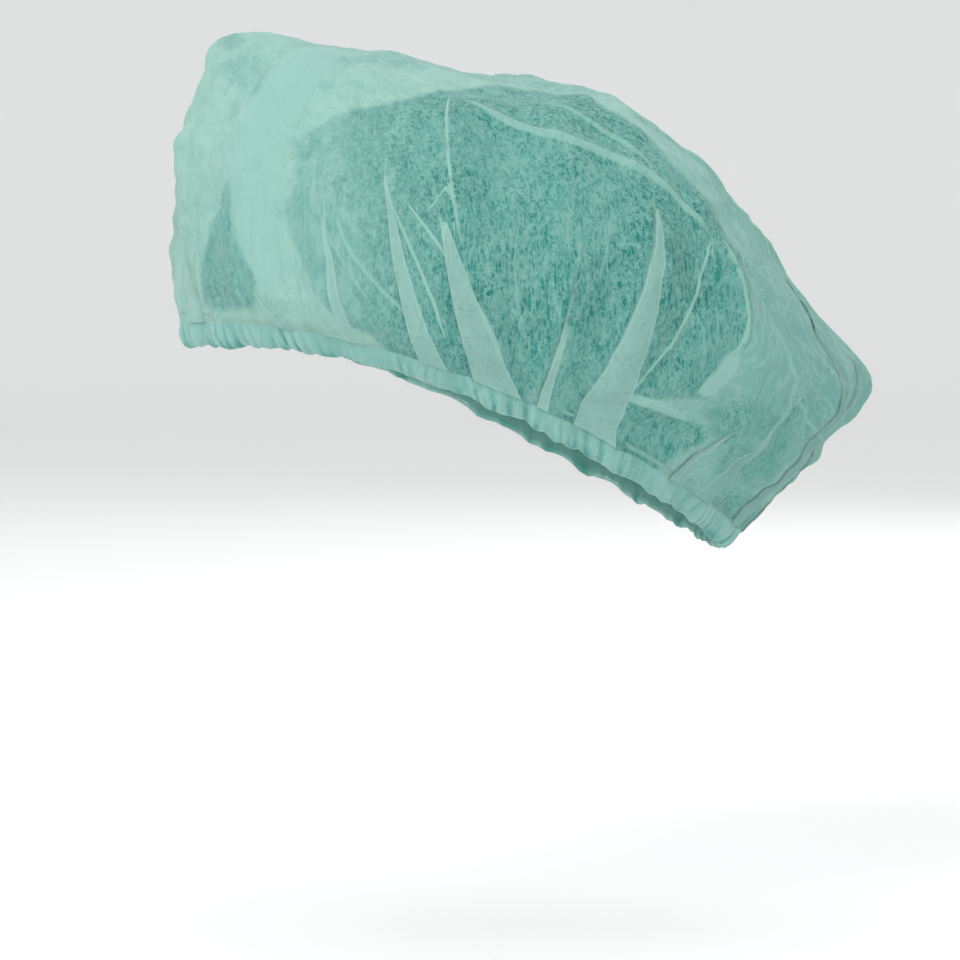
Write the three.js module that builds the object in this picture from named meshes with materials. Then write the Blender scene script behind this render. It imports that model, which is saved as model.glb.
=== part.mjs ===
// Disposable hair cover cap, in the form it takes when worn: a round sheet of thin nonwoven cloth
// whose edge is folded into a narrow casing and gathered by an elastic loop. Above the rim the
// cloth stands as a loose bag with a high front, a sloping top and a corner low at the back.
// Millimetres, +Z up, front towards -Y, left side towards +X, origin in the middle of the rim.

import * as THREE from "three";

// Rim: the line that the elastic draws round the opening.
const rimLength = 191; // front to nape
const rimWidth = 156; // side to side
const rimTilt = 37; // the front's height above the origin, and the nape's depth below it
const rimSideArch = 15; // lift of the rim over both sides
const rimBrowLift = 10; // further lift between the front and the sides

// Bag: its centre, and how far the cloth stands from it.
const bagCentreBack = 14.5;
const bagCentreHeight = 52;
const frontReach = 118;
const sideReach = 88;
const backReach = 120;
const crownRise = 82; // straight up from the centre
const bagSquareness = 0.4; // 0 makes the bag's level sections ellipses, and more fills their corners
const cornerHeight = 10; // the sharp corners of the bag stand out by about this much
const clothWall = 1.4;

// Folds and gathers of the cloth.
const foldHeight = 3.2;
const gatherCount = 28;
const gatherDepth = 2.4; // at the rim
const gatherRun = 34; // the gathers fade out over this height
const scallopDepth = 0.9; // waves of the lower edge

// Casing: the edge turned up inside, open at its top, with the elastic lying in it.
const casingHeight = 10;
const casingInnerHeight = 8.5;
const casingWall = 1.0;
const elasticWidth = 5;
const elasticThickness = 1.2;
const clearance = 0.3; // between neighbouring pieces

// Mesh steps.
const stepsPerGather = 4;
const crownRings = 15;
const elasticSteps = 72;

// The bag's section at each elevation (degrees above its centre), as shares of the three reaches.
const bagSections = [
  { elevation: -50, front: 0.86, side: 0.93, back: 1.0 },
  { elevation: -35, front: 0.9, side: 0.96, back: 1.03 },
  { elevation: -22, front: 0.94, side: 0.99, back: 1.06 },
  { elevation: -12, front: 0.965, side: 1.02, back: 1.07 },
  { elevation: 0, front: 0.97, side: 1.05, back: 0.91 },
  { elevation: 13, front: 0.985, side: 1.07, back: 0.81 },
  { elevation: 27, front: 1.04, side: 1.07, back: 0.75 },
  { elevation: 38, front: 1.07, side: 1.06, back: 0.71 },
  { elevation: 48, front: 1.035, side: 1.04, back: 0.7 },
  { elevation: 58, front: 0.9, side: 0.98, back: 0.69 },
  { elevation: 75, front: 0.75, side: 0.94, back: 0.67 },
  { elevation: 90, front: 0.7, side: 0.94, back: 0.69 },
];

// Corners: azimuth from the front towards the left, elevation, height as a share of cornerHeight
// and spread, in degrees.
const corners = [
  { azimuth: 6, elevation: 43, height: 1.25, spread: 7.5 },
  { azimuth: 12, elevation: 25, height: 1.2, spread: 10 },
  { azimuth: -30, elevation: 50, height: 0.6, spread: 12 },
  { azimuth: 178, elevation: -12, height: 1.0, spread: 8 },
  { azimuth: 172, elevation: 60, height: 0.2, spread: 8 },
  { azimuth: -140, elevation: 20, height: 0.5, spread: 14 },
];

// Folds: a ridge from its foot to its tip. foot and tip are angles round the rim in degrees, from
// and to are shares of the way from the rim to the top, height is a share of foldHeight, and spread
// is the gentle side's width in degrees.
const folds = [
  { foot: 92, tip: 66, from: 0.06, to: 0.44, height: 1.0, spread: 9 },
  { foot: 98, tip: 106, from: 0.06, to: 0.4, height: 0.7, spread: 8 },
  { foot: 110, tip: 121, from: 0.06, to: 0.5, height: 1.1, spread: 9 },
  { foot: 114, tip: 134, from: 0.06, to: 0.38, height: 0.7, spread: 8 },
  { foot: 84, tip: 77, from: 0.25, to: 0.7, height: 0.8, spread: 9 },
  { foot: 138, tip: 128, from: 0.2, to: 0.56, height: 1.1, spread: 11 },
  { foot: 37, tip: 35, from: 0.06, to: 0.66, height: 1.0, spread: 12 },
  { foot: 60, tip: 52, from: 0.06, to: 0.4, height: 0.7, spread: 10 },
  { foot: 15, tip: 22, from: 0.08, to: 0.6, height: 0.7, spread: 10 },
  { foot: 150, tip: 163, from: 0.06, to: 0.3, height: 1.0, spread: 12 },
  { foot: 178, tip: 172, from: 0.06, to: 0.5, height: 0.9, spread: 12 },
  { foot: 204, tip: 196, from: 0.06, to: 0.4, height: 1.0, spread: 11 },
  { foot: 226, tip: 232, from: 0.1, to: 0.6, height: 1.0, spread: 11 },
  { foot: 248, tip: 240, from: 0.06, to: 0.42, height: 1.0, spread: 9 },
  { foot: 264, tip: 278, from: 0.06, to: 0.55, height: 1.0, spread: 9 },
  { foot: 284, tip: 296, from: 0.06, to: 0.38, height: 0.8, spread: 9 },
  { foot: 310, tip: 318, from: 0.06, to: 0.6, height: 1.0, spread: 11 },
  { foot: 338, tip: 334, from: 0.06, to: 0.5, height: 0.8, spread: 10 },
];

const bagCentre = new THREE.Vector3(0, bagCentreBack, bagCentreHeight);
const zenith = Math.PI / 2;
const ringSteps = gatherCount * stepsPerGather;
const channelDepth = elasticThickness + 2 * clearance;
const casingDepth = 2 * casingWall + channelDepth;

const radians = THREE.MathUtils.degToRad;
const smooth = (x) => THREE.MathUtils.smoothstep(x, 0, 1);

// The unit vector at an azimuth from the front and an elevation.
function direction(azimuth, elevation) {
  const level = Math.cos(elevation);
  return new THREE.Vector3(
    level * Math.sin(azimuth),
    -level * Math.cos(azimuth),
    Math.sin(elevation),
  );
}

// A point of the rim's line.
function rimPoint(azimuth) {
  const side = Math.sin(azimuth) ** 2;
  const brow = side * ((1 + Math.cos(azimuth)) / 2) ** 2;
  return new THREE.Vector3(
    (rimWidth / 2) * Math.sin(azimuth),
    (-rimLength / 2) * Math.cos(azimuth),
    rimTilt * Math.cos(azimuth) + rimSideArch * side + rimBrowLift * brow,
  );
}

// One column of the section table at an elevation, by a smooth curve through its rows.
function sectionShare(column, elevation) {
  const degrees = THREE.MathUtils.radToDeg(elevation);
  const last = bagSections.length - 2;
  const above = bagSections.findIndex((row) => row.elevation > degrees);
  const i = THREE.MathUtils.clamp(above < 0 ? last : above - 1, 0, last);
  const slope = (k) => {
    const low = bagSections[Math.max(k - 1, 0)];
    const high = bagSections[Math.min(k + 1, last + 1)];
    return (high[column] - low[column]) / (high.elevation - low.elevation);
  };
  const span = bagSections[i + 1].elevation - bagSections[i].elevation;
  const s = THREE.MathUtils.clamp((degrees - bagSections[i].elevation) / span, 0, 1);
  const a = bagSections[i][column];
  const b = bagSections[i + 1][column];
  const bend = s * (1 - s) * ((1 - s) * slope(i) - s * slope(i + 1)) * span;
  return a + (b - a) * smooth(s) + bend;
}

// How far the bag's cloth stands from the centre, corners included.
function bagRadius(azimuth, elevation) {
  const ahead = Math.cos(azimuth);
  const reach = ahead > 0 ? frontReach : backReach;
  const end = reach * sectionShare(ahead > 0 ? "front" : "back", elevation);
  const side = sideReach * sectionShare("side", elevation);
  const power = 2 + bagSquareness * Math.cos(elevation);
  const lengthwise = Math.abs(ahead / end) ** power;
  const sideways = Math.abs(Math.sin(azimuth) / side) ** power;
  let radius = (lengthwise + sideways) ** (-1 / power);
  const here = direction(azimuth, elevation);
  for (const corner of corners) {
    const peak = direction(radians(corner.azimuth), radians(corner.elevation));
    const away = here.angleTo(peak) / radians(corner.spread);
    radius += cornerHeight * corner.height * Math.exp(-(away ** 1.3));
  }
  return radius;
}

// The height that the folds add at an angle round the rim and a share of the way up.
function foldRise(turn, up) {
  let rise = 0;
  for (const fold of folds) {
    const along = (up - fold.from) / (fold.to - fold.from);
    if (along <= 0 || along >= 1) continue;
    const ridge = radians(THREE.MathUtils.lerp(fold.foot, fold.tip, along));
    const beside = Math.atan2(Math.sin(turn - ridge), Math.cos(turn - ridge));
    const away = beside / radians(fold.spread);
    const across = away < 0 ? smooth(1 + away / 0.45) : smooth(1 - away);
    rise += foldHeight * fold.height * across * smooth(along / 0.25) * smooth((1 - along) / 0.3);
  }
  return rise;
}

// The smooth bag without folds: turn runs round the rim, up runs from the rim (0) to the top (1).
// It returns the point, with the direction from the centre and the azimuth as seen from there.
function bagPoint(turn, up) {
  const foot = rimPoint(turn).sub(bagCentre);
  const rimRadius = foot.length();
  const rimElevation = Math.asin(foot.z / rimRadius);
  const azimuth = Math.atan2(foot.x, -foot.y);
  const elevation = THREE.MathUtils.lerp(rimElevation, zenith, up);
  const free = smooth(up / 0.12);
  const cap = Math.max(0, (up - 0.8) / 0.2) ** 2;
  const bag = THREE.MathUtils.lerp(rimRadius, bagRadius(azimuth, elevation), free);
  const radius = THREE.MathUtils.lerp(bag, crownRise, cap);
  const outward = direction(azimuth, elevation);
  return { point: outward.clone().multiplyScalar(radius).add(bagCentre), outward, azimuth };
}

// The cloth's outward normal on the smooth bag.
function bagNormal(turn, up) {
  const step = 0.004;
  const low = Math.max(up - step, 0);
  const along = bagPoint(turn + step, up).point.sub(bagPoint(turn - step, up).point);
  const rising = bagPoint(turn, up + step).point.sub(bagPoint(turn, low).point);
  return along.cross(rising).normalize();
}

// The share of the way up at which the cloth is the given distance above the rim.
function shareAt(turn, distance) {
  const step = 0.02;
  const run = bagPoint(turn, step).point.distanceTo(bagPoint(turn, 0).point);
  return (distance * step) / run;
}

// How far the gathers push the cloth out at a height above the rim.
function gatherRise(turn, height) {
  const wave = 0.5 + 0.5 * Math.cos(gatherCount * turn);
  const uneven = 0.8 + 0.2 * Math.sin(3 * turn + 1);
  return gatherDepth * smooth(1 - height / gatherRun) * wave * uneven;
}

// A point of the crown's cloth: depth is measured inwards from its outer face.
function clothPoint(turn, up, depth) {
  const { point, outward } = bagPoint(turn, up);
  const height = up / shareAt(turn, 1);
  point.addScaledVector(outward, foldRise(turn, up) + gatherRise(turn, height));
  return point.addScaledVector(bagNormal(turn, up), -depth);
}

// A point of the hem, whose section is straight: height runs up the cloth from the rim, depth runs
// inwards from its outer face, and waves scales the gathers.
function hemPoint(turn, height, depth, waves) {
  const { point, outward } = bagPoint(turn, 0);
  const edge = bagPoint(turn, shareAt(turn, casingHeight)).point;
  const rising = edge.sub(point).normalize();
  const along = bagPoint(turn + 0.004, 0).point.sub(bagPoint(turn - 0.004, 0).point);
  const normal = along.cross(rising).normalize();
  point.addScaledVector(rising, height).addScaledVector(normal, -depth);
  return point.addScaledVector(outward, waves * gatherRise(turn, height));
}

// Joins rings of points into triangles: ring k's point i meets ring k + 1's. closed joins the last
// ring to the first, and otherwise each end of the stack is a single point.
function ringGeometry(rings, closed) {
  const positions = rings.flat().flatMap((point) => point.toArray());
  const starts = [];
  let count = 0;
  for (const ring of rings) {
    starts.push(count);
    count += ring.length;
  }
  const index = [];
  const pairs = closed ? rings.length : rings.length - 1;
  for (let k = 0; k < pairs; k++) {
    const next = (k + 1) % rings.length;
    const steps = Math.max(rings[k].length, rings[next].length);
    for (let i = 0; i < steps; i++) {
      const at = (ring, j) => starts[ring] + (rings[ring].length === 1 ? 0 : j % steps);
      const corner = [at(k, i), at(k, i + 1), at(next, i + 1), at(next, i)];
      if (corner[0] !== corner[1]) index.push(corner[0], corner[1], corner[2]);
      if (corner[2] !== corner[3]) index.push(corner[0], corner[2], corner[3]);
    }
  }
  const geometry = new THREE.BufferGeometry();
  geometry.setAttribute("position", new THREE.Float32BufferAttribute(positions, 3));
  geometry.setIndex(index);
  geometry.computeVertexNormals();
  return geometry;
}

// One ring of points: place(turn) gives each.
function ring(steps, place) {
  return Array.from({ length: steps }, (_, i) => place((2 * Math.PI * i) / steps));
}

function piece(name, geometry, material) {
  const mesh = new THREE.Mesh(geometry, new THREE.MeshStandardMaterial(material));
  mesh.name = name;
  return mesh;
}

// The crown: a cloth shell from just above the casing to the top, open below.
function makeCrown() {
  const foot = casingHeight + clearance;
  const shares = Array.from({ length: crownRings }, (_, k) => k / crownRings);
  const shell = (depth) =>
    shares.map((share) =>
      ring(ringSteps, (turn) => {
        const start = shareAt(turn, foot);
        return clothPoint(turn, start + (1 - start) * share ** 1.12, depth);
      }),
    );
  const top = (depth) => [new THREE.Vector3(0, 0, crownRise - depth).add(bagCentre)];
  const outer = shell(0);
  const inner = shell(clothWall);
  return ringGeometry([top(clothWall), ...inner.reverse(), ...outer, top(0)], false);
}

// The casing: the turned-up edge, a channel with its slit at the top.
function makeCasing() {
  const round = casingWall;
  const inside = casingDepth - casingWall;
  const section = [
    { height: casingHeight, depth: 0, waves: 1 },
    { height: round, depth: 0, waves: 1 },
    { height: 0, depth: casingDepth * 0.3, waves: 0.6 },
    { height: 0, depth: casingDepth * 0.7, waves: 0 },
    { height: round, depth: casingDepth, waves: 0 },
    { height: casingInnerHeight, depth: casingDepth, waves: 0 },
    { height: casingInnerHeight, depth: inside, waves: 0 },
    { height: casingWall, depth: inside, waves: 0 },
    { height: casingWall, depth: casingWall, waves: 0 },
    { height: casingHeight, depth: casingWall, waves: 1 },
  ];
  const rings = section.map((corner) =>
    ring(ringSteps, (turn) => {
      const wave = 0.5 + 0.5 * Math.cos(gatherCount * turn);
      const dip = corner.height === 0 ? scallopDepth * wave : 0;
      const point = hemPoint(turn, corner.height, corner.depth, corner.waves);
      return point.setZ(point.z - dip);
    }),
  );
  return ringGeometry(rings.reverse(), true);
}

// The elastic: a flat band lying in the casing's channel.
function makeElastic() {
  const low = casingWall + clearance;
  const near = casingWall + clearance;
  const section = [
    { height: low, depth: near },
    { height: low, depth: near + elasticThickness },
    { height: low + elasticWidth, depth: near + elasticThickness },
    { height: low + elasticWidth, depth: near },
  ];
  const rings = section.map((corner) =>
    ring(elasticSteps, (turn) => hemPoint(turn, corner.height, corner.depth, 0)),
  );
  return ringGeometry(rings.reverse(), true);
}

const cloth = { color: 0x6fb0a6, roughness: 0.85, metalness: 0, side: THREE.DoubleSide };
const cap = new THREE.Group();
cap.name = "hair_cover_cap";
cap.add(piece("crown", makeCrown(), cloth));
cap.add(piece("hem_casing", makeCasing(), { ...cloth, color: 0x8fc4bb }));
cap.add(piece("elastic_band", makeElastic(), { color: 0xdfe9e6, roughness: 0.6, metalness: 0 }));

export default cap;
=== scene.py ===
"""Disposable hair cover cap: the cloth, hem and elastic in their worn form, dressed for the render.

Metres, +Z up, the front towards -Y and the left side towards +X, the origin in the middle of the rim.
"""

import logging
import math
from dataclasses import dataclass, replace
from enum import Enum

import bpy
import numpy as np
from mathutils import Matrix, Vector


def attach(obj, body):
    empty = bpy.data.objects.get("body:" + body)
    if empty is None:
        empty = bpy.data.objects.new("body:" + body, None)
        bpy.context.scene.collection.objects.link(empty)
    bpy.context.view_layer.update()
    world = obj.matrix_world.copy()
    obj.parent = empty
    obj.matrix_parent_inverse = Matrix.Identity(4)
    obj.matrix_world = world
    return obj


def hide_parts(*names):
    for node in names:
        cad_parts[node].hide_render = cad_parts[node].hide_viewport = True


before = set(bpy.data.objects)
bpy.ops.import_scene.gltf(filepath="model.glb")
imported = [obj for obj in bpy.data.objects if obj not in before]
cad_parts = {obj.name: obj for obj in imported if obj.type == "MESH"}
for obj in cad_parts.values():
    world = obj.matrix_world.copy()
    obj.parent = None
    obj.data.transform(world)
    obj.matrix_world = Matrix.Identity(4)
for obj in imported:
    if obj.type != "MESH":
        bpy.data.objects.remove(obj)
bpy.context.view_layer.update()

logging.basicConfig(level=logging.INFO, format="%(message)s")
log = logging.getLogger("hair_cover")

TURN = 2 * math.pi


def smooth(x: np.ndarray) -> np.ndarray:
    """Smooth step of x from 0 to 1.

    Args:
        x: values, clipped to 0 to 1 first.

    Returns:
        3x^2 - 2x^3.
    """
    x = np.clip(x, 0.0, 1.0)
    return x * x * (3 - 2 * x)


def wrap(angle: np.ndarray) -> np.ndarray:
    """The same angle between -pi and pi.

    Args:
        angle: radians.

    Returns:
        Radians.
    """
    return np.arctan2(np.sin(angle), np.cos(angle))


def direction(azimuth: np.ndarray, elevation: np.ndarray) -> np.ndarray:
    """Unit vectors at azimuths from the front towards the left, and elevations.

    Args:
        azimuth: radians.
        elevation: radians, of the same shape.

    Returns:
        An array with a last axis of 3.
    """
    level = np.cos(elevation)
    return np.stack([level * np.sin(azimuth), -level * np.cos(azimuth), np.sin(elevation)], -1)


def view_axes(azimuth: float, elevation: float) -> tuple[np.ndarray, np.ndarray, np.ndarray]:
    """The picture's right, its up, and the way from the object towards the viewer.

    Args:
        azimuth: where the viewer stands, in degrees from the front towards the left.
        elevation: how high the viewer stands, in degrees.

    Returns:
        Three unit vectors.
    """
    a, e = math.radians(azimuth), math.radians(elevation)
    right = np.array([math.cos(a), math.sin(a), 0.0])
    toward = direction(np.array(a), np.array(e))
    return right, np.cross(toward, right), toward


class Side(Enum):
    """The way that a pleat's loose edge points round the bag."""

    LEFTWARDS = 1
    RIGHTWARDS = -1


@dataclass(frozen=True)
class Section:
    """The bag's reach at one elevation, in degrees, as shares of the front, side and back reach."""

    elevation: float
    front: float
    side: float
    back: float


@dataclass(frozen=True)
class Corner:
    """A corner of the bag: where it is, its height and its spread, in degrees and metres."""

    azimuth: float
    elevation: float
    height: float
    spread: float


@dataclass(frozen=True)
class Fold:
    """A soft ridge from foot to tip (degrees round the rim), over shares of the way up."""

    foot: float
    tip: float
    start: float
    end: float
    height: float
    spread: float


@dataclass(frozen=True)
class Pleat:
    """A flat pleat of three layers, widest at its foot and gone at its tip: degrees round the rim,
    the share of the way up that it reaches, and its width in metres."""

    foot: float
    tip: float
    end: float
    width: float
    side: Side = Side.LEFTWARDS


@dataclass(frozen=True)
class Crease:
    """A pressed line or band: its path as (degrees round the rim, share of the way up), its width
    and height in metres, and how much paler it is."""

    path: tuple[tuple[float, float], ...]
    width: float
    height: float
    pale: float

    def mirrored(self, shift: float) -> "Crease":
        """The same crease on the other side.

        Args:
            shift: degrees round the rim by which it is moved as well.

        Returns:
            The other crease.
        """
        return replace(self, path=tuple((shift - turn, up) for turn, up in self.path))


@dataclass(frozen=True)
class ShadePatch:
    """Painted shade where the dark head would show through the thin cloth, on both sides: its outline
    as (across, up) in millimetres as seen in the main view, how deep its painted shade is, and how soft
    its edge is."""

    outline: tuple[tuple[float, float], ...]
    depth: float
    soft: float = 1.0


@dataclass(frozen=True)
class HemStation:
    """A point of the hem's section: shares of its height and depth, and how much the waves lift it."""

    up: float
    inward: float
    waves: float


MAIN_VIEW = (80.0, 4.0)

SECTIONS = (
    Section(-50, 0.86, 0.93, 1.0),
    Section(-35, 0.9, 0.96, 1.03),
    Section(-22, 0.94, 0.99, 1.06),
    Section(-12, 0.965, 1.02, 1.07),
    Section(0, 0.97, 1.05, 0.91),
    Section(13, 0.985, 1.07, 0.81),
    Section(27, 1.04, 1.07, 0.75),
    Section(38, 1.07, 1.06, 0.71),
    Section(48, 1.035, 1.04, 0.7),
    Section(58, 0.9, 0.98, 0.69),
    Section(75, 0.75, 0.94, 0.67),
    Section(90, 0.7, 0.94, 0.69),
)

CORNERS = (
    Corner(6, 43, 0.0125, 7.5),
    Corner(12, 25, 0.012, 10),
    Corner(-30, 50, 0.006, 12),
    Corner(178, -12, 0.010, 8),
    Corner(172, 60, 0.002, 8),
    Corner(-140, 20, 0.005, 14),
)

FOLDS = (
    Fold(92, 66, 0.06, 0.44, 0.0032, 9),
    Fold(98, 106, 0.06, 0.4, 0.0022, 8),
    Fold(110, 121, 0.06, 0.5, 0.0035, 9),
    Fold(114, 134, 0.06, 0.38, 0.0022, 8),
    Fold(84, 77, 0.25, 0.7, 0.0026, 9),
    Fold(138, 128, 0.2, 0.56, 0.0035, 11),
    Fold(37, 35, 0.06, 0.66, 0.0032, 12),
    Fold(60, 52, 0.06, 0.4, 0.0022, 10),
    Fold(15, 22, 0.08, 0.6, 0.0022, 10),
    Fold(150, 163, 0.06, 0.3, 0.0032, 12),
    Fold(178, 172, 0.06, 0.5, 0.0029, 12),
    Fold(204, 196, 0.06, 0.4, 0.0032, 11),
    Fold(226, 232, 0.1, 0.6, 0.0032, 11),
    Fold(248, 240, 0.06, 0.42, 0.0032, 9),
    Fold(264, 278, 0.06, 0.55, 0.0032, 9),
    Fold(284, 296, 0.06, 0.38, 0.0026, 9),
    Fold(310, 318, 0.06, 0.6, 0.0032, 11),
    Fold(338, 334, 0.06, 0.5, 0.0026, 10),
)

PLEATS = (
    Pleat(8, 12, 0.38, 0.006),
    Pleat(19, 16, 0.22, 0.004, Side.RIGHTWARDS),
    Pleat(46, 43, 0.12, 0.006),
    Pleat(58, 52, 0.2, 0.004),
    Pleat(66, 58, 0.3, 0.006, Side.RIGHTWARDS),
    Pleat(77, 68, 0.42, 0.010),
    Pleat(87, 79, 0.39, 0.018),
    Pleat(97.5, 105.5, 0.38, 0.004),
    Pleat(104.5, 121, 0.49, 0.0165),
    Pleat(125, 139, 0.17, 0.005),
    Pleat(140, 150, 0.26, 0.008, Side.RIGHTWARDS),
    Pleat(153, 162, 0.4, 0.013),
    Pleat(168, 171, 0.3, 0.014),
    Pleat(186, 182, 0.56, 0.019, Side.RIGHTWARDS),
    Pleat(205, 199, 0.5, 0.022),
    Pleat(221, 226, 0.64, 0.023, Side.RIGHTWARDS),
    Pleat(238, 236, 0.42, 0.016),
    Pleat(251, 243, 0.62, 0.024),
    Pleat(265, 268, 0.48, 0.014, Side.RIGHTWARDS),
    Pleat(276, 285, 0.66, 0.025, Side.RIGHTWARDS),
    Pleat(293, 299, 0.46, 0.018, Side.RIGHTWARDS),
    Pleat(309, 313, 0.66, 0.024),
    Pleat(326, 327, 0.4, 0.014),
    Pleat(343, 339, 0.56, 0.016, Side.RIGHTWARDS),
)

CREASES = (
    Crease(((77, 0.64), (80, 0.5), (85, 0.28)), 0.0012, 0.0006, 0.9),
    Crease(((82, 0.42), (77, 0.34)), 0.0010, 0.0005, 0.7),
    Crease(((67.5, 0.39), (73, 0.31), (79, 0.2), (82, 0.1)), 0.0012, 0.0003, 0.9),
    Crease(((70.5, 0.38), (82, 0.28), (90, 0.17), (93, 0.07)), 0.0012, 0.0003, 0.9),
    Crease(((132, 0.45), (127, 0.34), (120, 0.22), (109, 0.07)), 0.0013, 0.0006, 0.9),
    Crease(((132, 0.46), (135, 0.37), (134.5, 0.28), (130, 0.2), (126, 0.165)), 0.0018, 0.0010, 0.9),
    Crease(((134, 0.27), (131.5, 0.215), (128, 0.175)), 0.0075, 0.0010, 0.9),
    Crease(
        ((76, 0.65), (90, 0.61), (104, 0.58), (116, 0.56), (125, 0.5), (134, 0.38)),
        0.0040,
        0.0022,
        0.65,
    ),
    Crease(((104, 0.72), (118, 0.62), (126, 0.52)), 0.0022, 0.0010, 0.6),
    Crease(((136, 0.76), (149, 0.6), (155, 0.46), (160, 0.34)), 0.0026, 0.0012, 0.7),
    Crease(((146, 0.7), (158, 0.5), (166, 0.36)), 0.0012, 0.0006, 0.6),
    Crease(((12, 0.66), (22, 0.52), (35, 0.42)), 0.0016, 0.0008, 0.6),
    Crease(((18, 0.66), (31, 0.5)), 0.0012, 0.0006, 0.6),
    Crease(((7, 0.54), (12, 0.42), (11, 0.34)), 0.0020, 0.0010, 0.6),
    Crease(((35, 0.7), (42, 0.52), (40, 0.38), (43, 0.22), (50, 0.08)), 0.0150, 0.0016, 0.85),
    Crease(((46, 0.46), (47, 0.3), (54, 0.14)), 0.0014, 0.0006, 0.6),
    Crease(((60, 0.3), (64, 0.22), (78, 0.12)), 0.0014, 0.0006, 0.6),
    Crease(((52, 0.42), (58, 0.26), (70, 0.12)), 0.0012, 0.0005, 0.45),
    Crease(((112, 0.135), (120, 0.145), (131, 0.135)), 0.0034, 0.0012, 0.85),
    Crease(((141, 0.32), (147, 0.2), (143, 0.09)), 0.0020, 0.0009, 0.6),
    Crease(((150, 0.3), (160, 0.26), (163, 0.15)), 0.0012, 0.0006, 0.7),
    Crease(((144, 0.24), (156, 0.18), (172, 0.17)), 0.0014, 0.0007, 0.6),
    Crease(((96, 0.46), (93, 0.3), (96, 0.16)), 0.0010, 0.0004, 0.35),
    Crease(((112, 0.44), (108, 0.3)), 0.0010, 0.0004, 0.35),
)

# outlines of the painted shade where the dark head would show through the thin cloth
SHADE_PATCHES = (
    ShadePatch(
        (
            (-54, 107), (-47, 111), (-36, 116), (-18, 121), (0, 124.5), (10, 127), (31, 127), (47, 123),
            (64, 112), (73, 101.5), (88, 83.5), (96.5, 68), (100.5, 56.5), (100, 36), (92, 21), (87, 16),
            (66, 17), (61, 16), (75, 11.5), (88, 6), (87, 1), (77, -3), (67, -9), (57, -8), (52, -7),
            (30, 2.5), (5, 17), (-9, 26), (-21, 31), (-28, 37.5), (-39, 42), (-47.5, 51.5),
            (-54, 66.5), (-61, 80), (-57, 87), (-54, 91), (-55.5, 100),
        ),
        1.0,
    ),
    ShadePatch(
        (
            (-61.5, 102), (-67, 93), (-70.5, 90), (-72.5, 75.5), (-68.5, 59), (-70, 47.5), (-81.5, 47),
            (-90, 49.5), (-89.5, 62), (-85, 79), (-77, 89), (-67, 99),
        ),
        1.7,
        1.2,
    ),
    ShadePatch(((-82, 149), (-76.5, 146.5), (-73.5, 142), (-78, 139), (-83, 141), (-84, 146)), 1.0, 1.5),
    ShadePatch(
        ((-82, 134), (-72, 138.5), (-63, 130), (-60.5, 119.5), (-60.5, 108), (-70, 118), (-78, 127)),
        0.6,
        2.5,
    ),
    ShadePatch(
        (
            (-68, 152), (0, 155), (45, 142), (62, 128), (52, 125.5), (37, 126), (9, 131), (-13, 134),
            (-42, 133.5), (-49, 139), (-60, 143),
        ),
        0.42,
        3.0,
    ),
    ShadePatch(((55, 131), (70, 128), (104, 100), (118, 77), (110, 72), (90, 95), (64, 118)), 0.4, 2.0),
    ShadePatch(((90, 14), (128, 17), (121, 1), (108, -12), (92, -14)), 0.8, 5.0),
    ShadePatch(((72, -20), (98, -14), (114, -24), (100, -44), (84, -40)), 0.8, 4.0),
    ShadePatch(((-66, 24), (-52, 28), (-40, 27), (-30, 25), (-40, 34), (-58, 34)), 0.35, 3.0),
)


HEM_SECTION = (
    HemStation(1.28, 0.05, 1.0),
    HemStation(1.1, 0.045, 1.0),
    HemStation(0.94, 0.03, 1.0),
    HemStation(0.8, 0.0, 1.0),
    HemStation(0.66, -0.04, 1.0),
    HemStation(0.52, -0.08, 1.0),
    HemStation(0.38, -0.08, 1.0),
    HemStation(0.24, -0.02, 1.0),
    HemStation(0.1, 0.08, 0.95),
    HemStation(0.0, 0.35, 0.7),
    HemStation(0.0, 0.65, 0.5),
    HemStation(0.1, 0.92, 0.3),
    HemStation(0.45, 1.0, 0.25),
    HemStation(0.85, 1.0, 0.2),
    HemStation(0.87, 0.86, 0.2),
    HemStation(0.5, 0.82, 0.2),
    HemStation(0.15, 0.78, 0.2),
    HemStation(0.12, 0.3, 0.4),
    HemStation(0.5, 0.2, 0.9),
    HemStation(1.26, 0.15, 1.0),
)


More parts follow.
